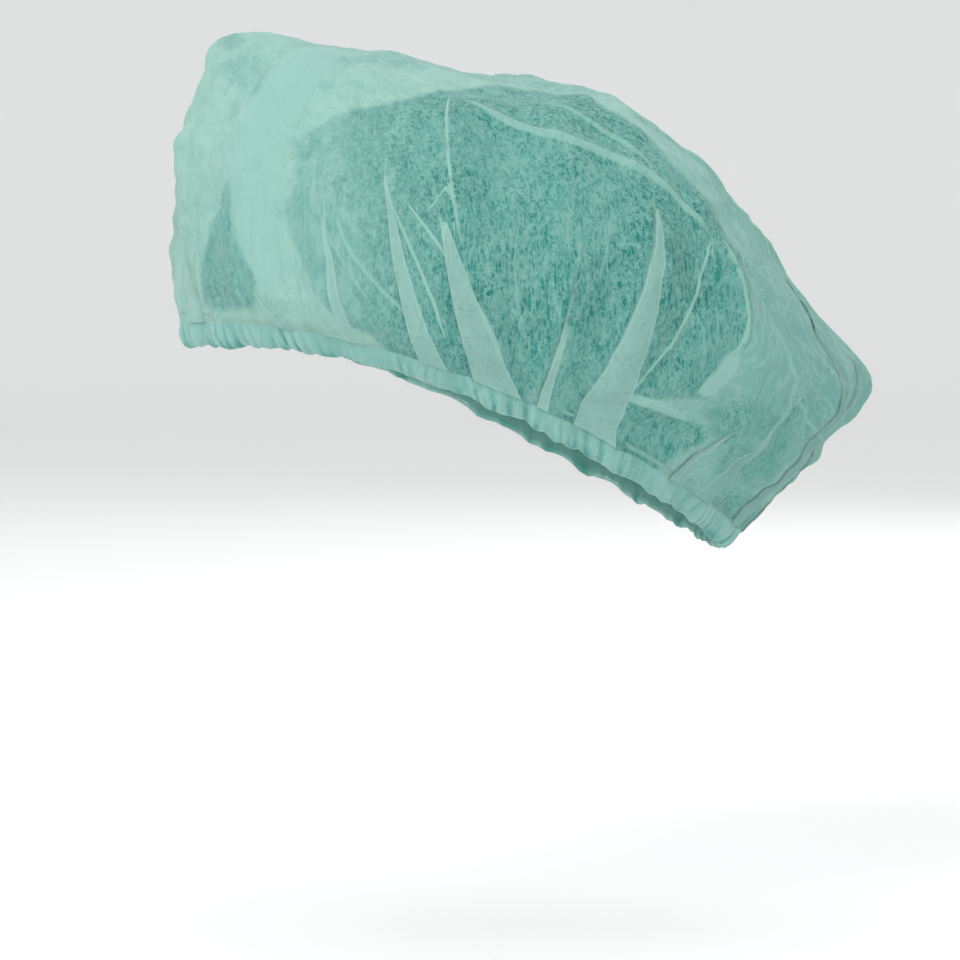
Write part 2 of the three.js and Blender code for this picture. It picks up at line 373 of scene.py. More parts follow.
@dataclass(frozen=True)
class Bag:
    """The smooth form of the worn cap: a rim line, and a cloth standing off a centre above it."""

    rim_length: float = 0.191
    rim_width: float = 0.156
    rim_front_height: float = 0.037
    rim_side_arch: float = 0.015
    rim_brow_lift: float = 0.010
    centre_back: float = 0.0145
    centre_height: float = 0.052
    front_reach: float = 0.118
    side_reach: float = 0.088
    back_reach: float = 0.120
    crown_rise: float = 0.082
    squareness: float = 0.4

    @property
    def centre(self) -> np.ndarray:
        """The point that the bag's directions are measured from."""
        return np.array([0.0, self.centre_back, self.centre_height])

    def rim(self, turn: np.ndarray) -> np.ndarray:
        """The rim's line: an ellipse, tipped down at the back and lifted over the sides.

        Args:
            turn: angle round the rim.

        Returns:
            Points, with a last axis of 3.
        """
        side = np.sin(turn) ** 2
        brow = side * ((1 + np.cos(turn)) / 2) ** 2
        lift = self.rim_side_arch * side + self.rim_brow_lift * brow
        return np.stack(
            [
                self.rim_width / 2 * np.sin(turn),
                -self.rim_length / 2 * np.cos(turn),
                self.rim_front_height * np.cos(turn) + lift,
            ],
            -1,
        )

    def rim_from_centre(self, azimuth: np.ndarray) -> tuple[np.ndarray, np.ndarray, np.ndarray]:
        """The rim as seen from the centre.

        Args:
            azimuth: directions from the centre.

        Returns:
            The rim's distance, elevation and own angle at each azimuth.
        """
        turn = np.linspace(-math.pi, math.pi, 1441)
        foot = self.rim(turn) - self.centre
        seen = np.unwrap(np.arctan2(foot[:, 0], -foot[:, 1]))
        distance = np.linalg.norm(foot, axis=1)
        rise = np.arcsin(foot[:, 2] / distance)
        at = wrap(azimuth)
        return np.interp(at, seen, distance), np.interp(at, seen, rise), np.interp(at, seen, turn)

    def azimuth_of(self, turn: np.ndarray) -> np.ndarray:
        """The azimuth, as seen from the centre, of each angle round the rim.

        Args:
            turn: radians round the rim, over any range.

        Returns:
            Azimuths that rise with the angle, over the same range.
        """
        whole = np.round(turn / TURN)
        foot = self.rim(turn) - self.centre
        seen = np.arctan2(foot[..., 0], -foot[..., 1])
        seen = np.where(seen - (turn - whole * TURN) > math.pi, seen - TURN, seen)
        seen = np.where(seen - (turn - whole * TURN) < -math.pi, seen + TURN, seen)
        return seen + whole * TURN

    def share(self, column: str, elevation: np.ndarray) -> np.ndarray:
        """One column of the section table by a cubic through its rows.

        Args:
            column: front, side or back.
            elevation: degrees.

        Returns:
            The share of that reach.
        """
        x = np.array([row.elevation for row in SECTIONS], dtype=float)
        y = np.array([getattr(row, column) for row in SECTIONS])
        slope = np.empty_like(y)
        slope[1:-1] = (y[2:] - y[:-2]) / (x[2:] - x[:-2])
        slope[0] = (y[1] - y[0]) / (x[1] - x[0])
        slope[-1] = (y[-1] - y[-2]) / (x[-1] - x[-2])
        i = np.clip(np.searchsorted(x, elevation, side="right") - 1, 0, len(x) - 2)
        span = x[i + 1] - x[i]
        s = np.clip((elevation - x[i]) / span, 0, 1)
        bend = s * (1 - s) * ((1 - s) * slope[i] - s * slope[i + 1]) * span
        return y[i] + (y[i + 1] - y[i]) * smooth(s) + bend

    def reach(self, azimuth: np.ndarray, elevation: np.ndarray) -> np.ndarray:
        """How far the cloth stands from the centre: a superellipse of the three reaches, and corners.

        Args:
            azimuth: radians.
            elevation: radians.

        Returns:
            Distances.
        """
        degrees = np.degrees(elevation)
        ahead, aside = np.cos(azimuth), np.sin(azimuth)
        front = self.front_reach * self.share("front", degrees)
        back = self.back_reach * self.share("back", degrees)
        side = self.side_reach * self.share("side", degrees)
        end = np.where(ahead > 0, front, back)
        power = 2 + self.squareness * np.cos(elevation)
        radius = (np.abs(ahead / end) ** power + np.abs(aside / side) ** power) ** (-1 / power)
        here = direction(azimuth, elevation)
        for corner in CORNERS:
            peak = direction(np.radians(corner.azimuth), np.radians(corner.elevation))
            away = np.degrees(np.arccos(np.clip(here @ peak, -1, 1))) / corner.spread
            radius = radius + corner.height * np.exp(-(away**1.3))
        return radius

    def point(self, azimuth: np.ndarray, up: np.ndarray, rise: np.ndarray | float = 0.0) -> np.ndarray:
        """A point of the bag: the elevation runs from the rim's to straight up as up runs 0 to 1.

        Args:
            azimuth: radians, as seen from the centre.
            up: share of the way from the rim to the top.
            rise: how far outside the smooth bag the point lies.

        Returns:
            Points, with a last axis of 3.
        """
        distance, low, _ = self.rim_from_centre(azimuth)
        elevation = low + up * (math.pi / 2 - low)
        free = smooth(up / 0.12)
        cap = np.clip((up - 0.8) / 0.2, 0, 1) ** 2
        radius = distance * (1 - free) + self.reach(azimuth, elevation) * free
        radius = radius * (1 - cap) + self.crown_rise * cap + rise
        return self.centre + direction(azimuth, elevation) * radius[..., None]

    def share_per_metre(self, azimuth: np.ndarray) -> np.ndarray:
        """The share of the way up that one metre of cloth above the rim takes.

        Args:
            azimuth: radians, as seen from the centre.

        Returns:
            One share for each azimuth.
        """
        step = np.full_like(azimuth, 0.02)
        run = np.linalg.norm(self.point(azimuth, step) - self.point(azimuth, step * 0), axis=-1)
        return step / run


def soft_folds(turn: np.ndarray, up: np.ndarray) -> np.ndarray:
    """The height of the broad folds, each one gentle on one side and steep on the other.

    Args:
        turn: angle round the rim.
        up: share of the way up.

    Returns:
        Heights in metres.
    """
    rise = np.zeros_like(turn)
    for fold in FOLDS:
        along = (up - fold.start) / (fold.end - fold.start)
        ridge = np.radians(fold.foot + (fold.tip - fold.foot) * np.clip(along, 0, 1))
        away = wrap(turn - ridge) / math.radians(fold.spread)
        across = np.where(away < 0, smooth(1 + away / 0.45), smooth(1 - away))
        rise += fold.height * across * smooth(along / 0.25) * smooth((1 - along) / 0.3)
    return rise


def crumple(points: np.ndarray, seed: int, scale: float, count: int = 7) -> np.ndarray:
    """Crushed-cloth relief: a mean of folded plane waves, each a zigzag along a random direction.

    Args:
        points: places, with a last axis of 3.
        seed: seed of the directions.
        scale: mean distance between creases, in metres.
        count: number of waves.

    Returns:
        Values from about -1 to 1.
    """
    random = np.random.default_rng(seed)
    total = np.zeros(points.shape[:-1])
    for _ in range(count):
        way = random.normal(size=3)
        way /= np.linalg.norm(way)
        bend = random.normal(size=3)
        bend /= np.linalg.norm(bend)
        warp = 0.35 * np.sin(points @ bend * TURN / (scale * 3.1) + random.uniform(0, TURN))
        phase = points @ way / (scale * random.uniform(0.7, 1.6)) + random.uniform(0, 1) + warp
        total += np.abs((phase % 1.0) * 2 - 1) * 2 - 1
    return total / math.sqrt(count)


def rounded(values: np.ndarray) -> np.ndarray:
    """Rounds the corners of a row of values with a running mean, keeping its two ends.

    Args:
        values: at least five numbers.

    Returns:
        The same number of values.
    """
    padded = np.pad(values, 4, mode="reflect", reflect_type="odd")
    return np.convolve(padded, np.full(9, 1 / 9), mode="valid")


def signed_distance(points: np.ndarray, outline: np.ndarray) -> np.ndarray:
    """Distance to a closed outline in a plane, positive inside.

    Args:
        points: places, with a last axis of 2.
        outline: corners in order.

    Returns:
        Distances, with the sign by the even-odd rule.
    """
    inside = np.zeros(points.shape[:-1], dtype=bool)
    best = np.full(points.shape[:-1], np.inf)
    for a, b in zip(outline, np.roll(outline, -1, axis=0)):
        span = b - a
        share = np.clip((points - a) @ span / (span @ span), 0, 1)
        best = np.minimum(best, np.linalg.norm(points - a - share[..., None] * span, axis=-1))
        crosses = (a[1] > points[..., 1]) != (b[1] > points[..., 1])
        slope = span[0] / span[1] if span[1] else 0.0
        inside ^= crosses & (points[..., 0] < a[0] + (points[..., 1] - a[1]) * slope)
    return np.where(inside, best, -best)


@dataclass(frozen=True)
class Gathers:
    """Waves that the elastic draws into the cloth: broad ones that run up, and fine crinkles."""

    broad_count: int = 28
    broad_depth: float = 0.0024
    broad_run: float = 0.034
    fine_count: int = 97
    fine_depth: float = 0.0011
    fine_run: float = 0.017

    def rise(self, turn: np.ndarray, height: np.ndarray) -> np.ndarray:
        """How far the waves stand out at an angle round the rim and a height above it.

        Args:
            turn: angle round the rim.
            height: metres up the cloth from the rim.

        Returns:
            Heights in metres.
        """
        wave = 0.5 + 0.5 * np.cos(self.broad_count * turn)
        uneven = 0.8 + 0.2 * np.sin(3 * turn + 1)
        broad = self.broad_depth * smooth(1 - height / self.broad_run) * wave * uneven
        wobble = 0.05 * np.sin(7 * turn) + 0.03 * np.sin(19 * turn + 2) + 3.0 * height
        fine = np.abs(np.sin(self.fine_count / 2 * (turn + 0.4 * wobble)))
        second = np.abs(np.sin(61 * (turn - 0.3 * wobble) + 1))
        strength = 0.55 + 0.45 * np.sin(11 * turn + 2) * np.sin(5 * turn)
        crinkle = self.fine_depth * (0.6 * fine + 0.4 * second) * strength
        return broad + crinkle * smooth(1 - height / self.fine_run)


def mesh_object(
    name: str, points: np.ndarray, faces: np.ndarray, material: bpy.types.Material
) -> bpy.types.Object:
    """A smooth-shaded mesh object at the origin.

    Args:
        name: the object's name.
        points: vertices, n by 3.
        faces: quads as m by 4 indices; a quad whose last two indices match is a triangle.
        material: its material.

    Returns:
        The object, linked to the scene.
    """
    mesh = bpy.data.meshes.new(name)
    triangles = faces[:, 2] == faces[:, 3]
    polygons = [tuple(f) for f in faces[~triangles].tolist()]
    polygons += [tuple(f[:3]) for f in faces[triangles].tolist()]
    mesh.from_pydata(points.tolist(), [], polygons)
    mesh.polygons.foreach_set("use_smooth", np.ones(len(mesh.polygons), dtype=bool))
    mesh.materials.append(material)
    mesh.update()
    piece = bpy.data.objects.new(name, mesh)
    bpy.context.scene.collection.objects.link(piece)
    return piece


def paint(piece: bpy.types.Object, name: str, values: np.ndarray) -> None:
    """Stores one value for each vertex as an attribute that the material reads.

    Args:
        piece: the object.
        name: the attribute's name.
        values: one number for each vertex.
    """
    layer = piece.data.attributes.new(name, "FLOAT", "POINT")
    layer.data.foreach_set("value", values.astype(np.float32).ravel())


def grid_faces(rows: int, columns: int, closed_rows: bool = False) -> np.ndarray:
    """Quads of a grid whose columns run round and close on themselves.

    Args:
        rows: number of rows of vertices.
        columns: vertices in each row.
        closed_rows: whether the last row joins the first.

    Returns:
        An array of quads.
    """
    low = np.arange(rows if closed_rows else rows - 1)[:, None] * columns
    high = ((low // columns + 1) % rows) * columns
    here = np.arange(columns)[None, :]
    after = (here + 1) % columns
    return np.stack([low + here, low + after, high + after, high + here], -1).reshape(-1, 4)


@dataclass
class Crown:
    """The cloth bag, from just above the casing to the top, as one sheet with pleats and creases.

    Attributes:
        bag: the smooth form.
        gathers: the waves that the elastic draws in.
        rows: rows of vertices from the casing up.
        row_bias: how much closer together the rows are near the casing.
        plain_columns: columns all round, without those in the pleats' turns.
        layer: height of one layer of a pleat over the next.
        parted_width: the pleat width from which its layers lie fully apart.
        settle: run over which the cloth settles beside a pleat.
        slack: how far the whole cloth lies inside the smooth form.
        start_height: where the cloth leaves the casing, up from the rim.
        start_share: the same height's share of the way up, for one metre.
        crease_reach: how far from its path a crease is looked for.
        crease_shift: degrees by which the other side's creases are moved.
        flat_size: diameter of the sheet when flat; not used.
    """

    bag: Bag
    gathers: Gathers
    rows: int = 120
    row_bias: float = 1.08
    plain_columns: int = 540
    layer: float = 0.00042
    parted_width: float = 0.0014
    settle: float = 0.006
    slack: float = 0.0010
    start_height: float = 0.0092
    start_share: float = 5.2
    crease_reach: float = 0.015
    crease_shift: float = 5.0
    flat_size: float = 0.483

    def columns(self) -> tuple[np.ndarray, np.ndarray, np.ndarray, np.ndarray, np.ndarray]:
        """Shares out the columns: plain ones between pleats, and a few in the turn of each pleat.

        Returns:
            For each column: the pleat that it follows, how far it is on the way to the next pleat,
            the pulse of the pleat's turn (0 to 1 to 0), the layer that it lies on (-1 outside the
            turn), and whether the cloth is turned over there.
        """
        feet = np.array([pleat.foot for pleat in PLEATS], dtype=float)
        gaps = np.diff(np.append(feet, feet[0] + 360))
        stations = np.array([0.35, 0.7, 0.9, 0.985, 1.015, 1.1, 1.3, 1.55, 1.8, 1.93, 2.03])
        heights = np.array([0.0, 0.0, 0.0, 0.2, 0.5, 0.8, 0.8, 0.8, 0.8, 0.7, 0.12])
        index, along, pulse, level, under = [], [], [], [], []
        for k, pleat in enumerate(PLEATS):
            plain = max(5, round(self.plain_columns * gaps[k] / 360))
            forwards = pleat.side is Side.LEFTWARDS
            turn = stations if forwards else np.append(2.0, stations[::-1])
            climb = heights if forwards else np.append(2.0, heights[::-1])
            index.append(np.full(len(turn) + plain, k))
            along.append(np.concatenate([np.zeros(len(turn)), np.arange(plain) / plain]))
            pulse.append(np.concatenate([pleat.side.value * (1 - np.abs(turn - 1)), np.zeros(plain)]))
            level.append(np.concatenate([climb, np.full(plain, -1.0)]))
            under.append(np.concatenate([(turn > 1) & (turn < 1.99), np.zeros(plain, dtype=bool)]))
        return tuple(np.concatenate(part) for part in (index, along, pulse, level, under))

    def pleat_lines(self, up: np.ndarray) -> tuple[np.ndarray, np.ndarray]:
        """Each pleat's angle round the rim and width at each row.

        Args:
            up: share of the way up, for each row.

        Returns:
            Two arrays of rows by pleats, in radians and metres.
        """
        foot = np.radians([pleat.foot for pleat in PLEATS])
        tip = np.radians([pleat.tip for pleat in PLEATS])
        end = np.array([pleat.end for pleat in PLEATS])
        width = np.array([pleat.width for pleat in PLEATS])
        climb = np.clip(up[:, None] / end, 0, 1)
        return foot + (tip - foot) * climb, width * np.clip(1 - climb, 0, 1)

    def grid(self) -> tuple[np.ndarray, np.ndarray, dict[str, np.ndarray]]:
        """Works out every vertex, row by row from the casing up, without the top point.

        Each column's azimuth is drawn between the two pleats beside it. Inside a pleat's turn the
        azimuth goes out and back by the pleat's width while the cloth climbs two layers. The
        normals are those of the surface without its layers, so a folded edge stays bright.

        Returns:
            Points and normals, rows by columns by 3, and the values that the material reads.
        """
        pleat, along, pulse, level, under = self.columns()
        rows = (np.arange(self.rows) / self.rows) ** self.row_bias
        lowest = self.start_height * self.start_share
        line, width = self.pleat_lines(lowest + (1 - lowest) * rows)
        following = (pleat + 1) % len(PLEATS)
        after = line[:, following] + np.where(following == 0, TURN, 0.0)
        azimuth = self.bag.azimuth_of(line[:, pleat] * (1 - along) + after * along)
        fold = self.bag.azimuth_of(line)
        per_metre = self.bag.share_per_metre(azimuth)
        start = self.start_height * per_metre
        up = start + (1 - start) * rows[:, None]
        _, low, _ = self.bag.rim_from_centre(azimuth)
        elevation = low + up * (math.pi / 2 - low)
        level_radius = np.maximum(self.bag.reach(azimuth, elevation) * np.cos(elevation), 0.02)
        azimuth = azimuth + pulse * width[:, pleat] / level_radius
        outside, margin = -0.004, 0.0002
        layers = np.zeros_like(azimuth)
        plies = np.full_like(azimuth, outside)
        for k, item in enumerate(PLEATS):
            over = width[:, k : k + 1]
            beyond = item.side.value * wrap(azimuth - fold[:, k : k + 1]) * level_radius
            held = smooth(over / self.parted_width) * self.layer
            turning = (pleat == k) & (level >= 0)
            above = smooth(1 - (beyond - over) / self.settle) * (beyond >= -1e-6) * (beyond < 0.05)
            layers += held * np.where(turning[None, :], level[None, :], 2 * above)
            within = np.minimum(beyond, over - beyond) + margin
            plies = np.maximum(plies, np.where(over > 0, within, outside))
        base = self.bag.point(azimuth, up)
        _, line, pale = self.creases(base)
        points = self.surface(azimuth, up, layers)
        step = 0.004
        beside = self.surface(azimuth + step, up, 0) - self.surface(azimuth - step, up, 0)
        above = self.surface(azimuth, np.minimum(up + step, 1), 0) - self.surface(azimuth, up - step, 0)
        normals = np.cross(beside, above)
        normals /= np.maximum(np.linalg.norm(normals, axis=-1, keepdims=True), 1e-12)
        normals[:, under] *= -1
        values = {
            "plies": plies * 1000,
            # painted shade where the dark head would show through the thin cloth
            "head_shade": self.head_shade_depth(base),
            "line": np.clip(line, -9, 9),
            "pale": pale,
            # painted shade: the cloth is darker towards the back
            "back": smooth((base[..., 1] - 0.02) / 0.1),
        }
        return points, normals, values

    def surface(self, azimuth: np.ndarray, up: np.ndarray, layers: np.ndarray | float) -> np.ndarray:
        """The cloth's place: the smooth bag with folds, gathers, crumples and creases on it.

        Args:
            azimuth: radians, as seen from the centre.
            up: share of the way up.
            layers: height of the layers that lie under this one.

        Returns:
            Points, with a last axis of 3.
        """
        base = self.bag.point(azimuth, up)
        _, _, turn = self.bag.rim_from_centre(azimuth)
        per_metre = self.bag.share_per_metre(azimuth)
        fade = smooth((up - self.start_height * per_metre) / 0.05)
        loose = 1 + 0.6 * smooth((base[..., 1] - 0.06) / 0.06)
        wrinkle = (0.0010 * crumple(base, 11, 0.034) + 0.0005 * crumple(base, 12, 0.013)) * loose
        crease, _, _ = self.creases(base)
        gathered = self.gathers.rise(turn, up / per_metre)
        free = (wrinkle + crease - self.slack) * fade
        return self.bag.point(azimuth, up, soft_folds(turn, up) + gathered + layers + free)

    @staticmethod
    def head_shade_depth(base: np.ndarray) -> np.ndarray:
        """How deep the painted shade of each point is: the deepest patch whose outline holds it.

        The points are seen as in the main view, and those on the right side are mirrored first.
        The painted shade fades over each outline's soft edge.

        Args:
            base: points of the smooth bag.

        Returns:
            Values from 0 to 1.
        """
        right, up, _ = view_axes(*MAIN_VIEW)
        left_side = base.copy()
        left_side[..., 0] = np.abs(left_side[..., 0])
        seen = np.stack([left_side @ right, left_side @ up], -1) * 1000
        total = np.zeros(base.shape[:-1])
        for patch in SHADE_PATCHES:
            inside = signed_distance(seen, np.array(patch.outline, dtype=float))
            total = np.maximum(total, patch.depth * smooth(0.5 + 0.5 * inside / patch.soft))
        return total * (0.45 + 0.55 * smooth((seen[..., 0] + 56) / 60))

    def creases(self, base: np.ndarray) -> tuple[np.ndarray, np.ndarray, np.ndarray]:
        """The pressed lines: a rounded ridge and a pale stripe by the distance from each path.

        Args:
            base: points of the smooth bag.

        Returns:
            Heights in metres, the signed distance from the nearest stripe's middle in half
            widths, and its paleness.
        """
        height = np.zeros(base.shape[:-1])
        line = np.full(base.shape[:-1], 9.0)
        pale = np.zeros(base.shape[:-1])
        for crease in CREASES + tuple(crease.mirrored(self.crease_shift) for crease in CREASES):
            stations = np.array(crease.path, dtype=float)
            t = np.linspace(0, len(stations) - 1, 10 * (len(stations) - 1) + 1)
            knots = np.arange(len(stations))
            turn, up = (rounded(np.interp(t, knots, stations[:, k])) for k in (0, 1))
            path = self.bag.point(self.bag.azimuth_of(np.radians(turn)), up)
            low, high = path.min(0) - self.crease_reach, path.max(0) + self.crease_reach
            near = np.all((base > low) & (base < high), axis=-1)
            away, progress = self.distance_to_path(base[near], path)
            ends = smooth(progress / 0.3) * smooth((1 - progress) / 0.3)
            half = 0.5 * crease.width * (0.25 + 0.75 * ends)
            ridge = np.exp(-((away / (half * 1.6)) ** 2)) * ends
            height[near] = np.maximum(height[near], crease.height * ridge)
            beside = smooth((0.0020 + half - np.abs(away)) / 0.0012)
            closer = np.abs(away / half) < np.abs(line[near])
            pale[near] = np.where(closer, crease.pale * smooth(ends / 0.4) * beside, pale[near])
            line[near] = np.where(closer, away / half, line[near])
        return height, line, pale

    def distance_to_path(self, points: np.ndarray, path: np.ndarray) -> tuple[np.ndarray, np.ndarray]:
        """Signed distance to a polyline on the bag, segment by segment.

        Args:
            points: n by 3.
            path: m by 3.

        Returns:
            The distance of each point, positive on the path's left as seen from outside, and how
            far along the path its foot lies, from 0 to 1.
        """
        best = np.full(len(points), np.inf)
        progress = np.zeros(len(points))
        side = np.ones(len(points))
        outward = points - self.bag.centre
        count = len(path) - 1
        for k in range(count):
            span = path[k + 1] - path[k]
            offset = points - path[k]
            share = np.clip(offset @ span / (span @ span), 0, 1)
            away = np.linalg.norm(offset - share[:, None] * span, axis=1)
            closer = away < best
            best = np.where(closer, away, best)
            progress = np.where(closer, (k + share) / count, progress)
            left = np.sign(np.sum(np.cross(span, offset) * outward, axis=1))
            side = np.where(closer, left, side)
        return best * side, progress

    def build(self, material: bpy.types.Material) -> bpy.types.Object:
        """Makes the crown.

        Args:
            material: the cloth.

        Returns:
            The crown's object.
        """
        points, normals, values = self.grid()
        rows, columns = points.shape[:2]
        top = self.bag.centre + np.array([0, 0, self.bag.crown_rise])
        last = (rows - 1) * columns + np.arange(columns)
        tip = np.full(columns, rows * columns)
        fan = np.stack([last, np.roll(last, -1), tip, tip], -1)
        faces = np.concatenate([grid_faces(rows, columns), fan])
        piece = mesh_object("crown_cloth", np.vstack([points.reshape(-1, 3), top]), faces, material)
        for name, value in values.items():
            paint(piece, name, np.append(value.ravel(), value[-1].mean()))
        every_normal = np.vstack([normals.reshape(-1, 3), [[0.0, 0.0, 1.0]]])
        piece.data.normals_split_custom_set_from_vertices(every_normal.tolist())
        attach(piece, "root")
        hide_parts("crown")
        return piece


@dataclass
class Hem:
    """The casing: the edge turned up inside, crinkled along its whole length."""

    bag: Bag
    gathers: Gathers
    columns: int = 1800
    height: float = 0.0100
    depth: float = 0.0036
    scallop: float = 0.0009
    crinkle_depth: float = 0.0008
    reach: int = 5

    def crinkle(self, turn: np.ndarray, up: float) -> np.ndarray:
        """Short sharp folds of the drawn-up edge, which slant differently at each height.

        Args:
            turn: angle round the rim.
            up: share of the hem's height.

        Returns:
            Heights in metres.
        """
        slant = 0.05 * up * np.sin(17 * turn + 1) + 0.05 * np.sin(9 * turn)
        slant = slant + 0.03 * np.sin(23 * turn + 2)
        first = np.abs(np.sin(67 * (turn + slant)))
        second = np.abs(np.sin(131 * (turn - 0.8 * slant) + 2))
        rough = 0.45 + 0.55 * np.sin(13 * turn + 3 * up) * np.sin(29 * turn + 1)
        fade = smooth(np.array((1.1 - up) / 0.5))
        return self.crinkle_depth * (0.65 * first + 0.35 * second) * rough * fade

    def frame_at(self, turn: np.ndarray) -> tuple[np.ndarray, np.ndarray, np.ndarray, np.ndarray]:
        """The rim's point, the way up the cloth, the way out, and the centre's direction.

        Args:
            turn: angle round the rim.

        Returns:
            Four arrays with a last axis of 3.
        """
        foot = self.bag.rim(turn)
        radial = foot - self.bag.centre
        azimuth = np.arctan2(radial[:, 0], -radial[:, 1])
        share = self.height * self.bag.share_per_metre(azimuth)
        rising = self.bag.point(azimuth, share) - foot
        rising /= np.linalg.norm(rising, axis=1, keepdims=True)
        along = np.roll(foot, -1, axis=0) - np.roll(foot, 1, axis=0)
        outward = np.cross(along, rising)
        outward /= np.linalg.norm(outward, axis=1, keepdims=True)
        radial /= np.linalg.norm(radial, axis=1, keepdims=True)
        return foot, rising, outward, radial

    def build(self, material: bpy.types.Material) -> bpy.types.Object:
        """Carries a flattened loop of section round the rim, with crinkles that differ up its height.

        Args:
            material: the hem's cloth.

        Returns:
            The hem's object.
        """
        turn = np.arange(self.columns) / self.columns * TURN
        foot, rising, outward, radial = self.frame_at(turn)
        random = np.random.default_rng(5)
        knots = np.linspace(0, TURN, 180)
        jag = np.interp(turn, knots, np.append(random.uniform(-1, 1, 179), 0))
        rings, valley_shade = [], []
        for station in HEM_SECTION:
            up = station.up
            height = np.full_like(turn, up * self.height)
            rise = station.waves * (self.gathers.rise(turn, height) + self.crinkle(turn, up))
            scallop = 0.3 * np.cos(self.gathers.broad_count * turn) + jag
            low = smooth(np.array(1 - up / 0.4)) * self.scallop * scallop
            ring = foot + rising * (height - low)[:, None] - outward * (station.inward * self.depth)
            rings.append(ring + radial * rise[:, None])
            # painted shade: darker in the crinkles' valleys, and a painted shadow along the scalloped
            # lower edge
            fine = rise - 0.5 * (np.roll(rise, self.reach) + np.roll(rise, -self.reach))
            shade = 0.25 - fine / 0.0011 + 2.6 * np.clip(0.4 - up, 0, 1) * np.clip(jag, 0, 1)
            valley_shade.append(np.clip(shade, 0, 1))
        points = np.stack(rings[::-1])
        faces = grid_faces(len(HEM_SECTION), self.columns, closed_rows=True)
        piece = mesh_object("hem_cloth", points.reshape(-1, 3), faces, material)
        paint(piece, "valley_shade", np.stack(valley_shade[::-1]))
        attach(piece, "root")
        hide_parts("hem_casing")
        return piece


@dataclass
class Elastic:
    """The flat elastic loop in the casing, with ribs along it."""

    bag: Bag
    columns: int = 900
    width: float = 0.005
    thickness: float = 0.0012
    floor: float = 0.0013
    inward: float = 0.0013
    rib: float = 0.00010

    def build(self, hem: Hem, material: bpy.types.Material) -> bpy.types.Object:
        """Carries a ribbed flat section round the rim.

        Args:
            hem: the casing, for its frame.
            material: the elastic.

        Returns:
            The elastic's object.
        """
        turn = np.arange(self.columns) / self.columns * TURN
        foot, rising, outward, _ = hem.frame_at(turn)
        across = np.linspace(0, 1, 9)
        rings = []
        for near, order in ((0.0, across), (1.0, across[::-1])):
            for share in order:
                ribs = self.rib * math.cos(share * TURN * 4) * (1 if near else -1)
                round_off = 0.12 * self.thickness * (abs(2 * share - 1) ** 6) * (1 - 2 * near)
                inward = self.inward + near * self.thickness + ribs + round_off
                rings.append(foot + rising * (self.floor + share * self.width) - outward * inward)
        points = np.stack(rings[::-1])
        faces = grid_faces(len(rings), self.columns, closed_rows=True)
        piece = mesh_object("elastic_loop", points.reshape(-1, 3), faces, material)
        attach(piece, "root")
        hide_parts("elastic_band")
        return piece


class NodeSheet:
    """Small helper that adds and links the nodes of one tree."""

    def __init__(self, tree: bpy.types.NodeTree) -> None:
        """Keeps the tree.

        Args:
            tree: where the nodes go.
        """
        self.tree = tree

    def add(self, kind: str, **values: object) -> bpy.types.Node:
        """Adds a node and sets its properties, or its sockets where the name is a socket's.

        Args:
            kind: the node's type name.
            values: properties, or numbers and links for sockets, with _ for a space.

        Returns:
            The node.
        """
        node = self.tree.nodes.new(kind)
        for name, value in values.items():
            if hasattr(node, name):
                setattr(node, name, value)
        for name, value in values.items():
            if not hasattr(node, name):
                self.feed(node, name.replace("_", " "), value)
        return node

    def feed(self, node: bpy.types.Node, name: str, value: object) -> None:
        """Links a socket to an input, or sets its value.

        Args:
            node: the node.
            name: the input's name, or its number as text.
            value: an output socket, or a number or tuple.
        """
        socket = node.inputs[int(name)] if name.isdigit() else node.inputs[name]
        if isinstance(value, bpy.types.NodeSocket):
            self.tree.links.new(value, socket)
        else:
            socket.default_value = value

    def math(
        self, operation: str, a: object, b: object = 0.0, clamp: bool = False
    ) -> bpy.types.NodeSocket:
        """A Math node's result.

        Args:
            operation: the operation's name.
            a: first value or socket.
            b: second value or socket.
            clamp: whether the result stays between 0 and 1.

        Returns:
            The output socket.
        """
        node = self.tree.nodes.new("ShaderNodeMath")
        node.operation = operation
        node.use_clamp = clamp
        self.feed(node, "0", a)
        self.feed(node, "1", b)
        return node.outputs[0]

    def attribute(self, name: str) -> bpy.types.NodeSocket:
        """The value that a piece's vertices carry.

        Args:
            name: the attribute's name.

        Returns:
            The output socket.
        """
        return self.add("ShaderNodeAttribute", attribute_name=name).outputs["Fac"]

    def ramp(self, value: object, low: float, high: float) -> bpy.types.NodeSocket:
        """A smooth step of a value from 0 at low to 1 at high, which may be the smaller one.

        Args:
            value: the value's socket.
            low: where the step starts.
            high: where it ends.

        Returns:
            The output socket.
        """
        node = self.tree.nodes.new("ShaderNodeMapRange")
        node.interpolation_type = "SMOOTHSTEP"
        self.feed(node, "0", value)
        node.inputs[1].default_value = low
        node.inputs[2].default_value = high
        return node.outputs[0]

    def mix(self, factor: object, a: object, b: object) -> bpy.types.NodeSocket:
        """A colour between two colours.

        Args:
            factor: 0 gives a, 1 gives b.
            a: first colour or socket.
            b: second colour or socket.

        Returns:
            The output socket.
        """
        node = self.tree.nodes.new("ShaderNodeMix")
        node.data_type = "RGBA"
        self.feed(node, "0", factor)
        self.feed(node, "6", a)
        self.feed(node, "7", b)
        return node.outputs[2]

    def noise(
        self, vector: object, scale: float, detail: float, rough: float, twist: float
    ) -> bpy.types.NodeSocket:
        """A noise texture's value.

        Args:
            vector: the coordinates' socket.
            scale: noise scale, per metre.
            detail: octaves.
            rough: weight of the finer octaves.
            twist: distortion.

        Returns:
            The value's socket.
        """
        node = self.tree.nodes.new("ShaderNodeTexNoise")
        self.feed(node, "Vector", vector)
        node.inputs["Scale"].default_value = scale
        node.inputs["Detail"].default_value = detail
        node.inputs["Roughness"].default_value = rough
        node.inputs["Distortion"].default_value = twist
        return node.outputs[0]


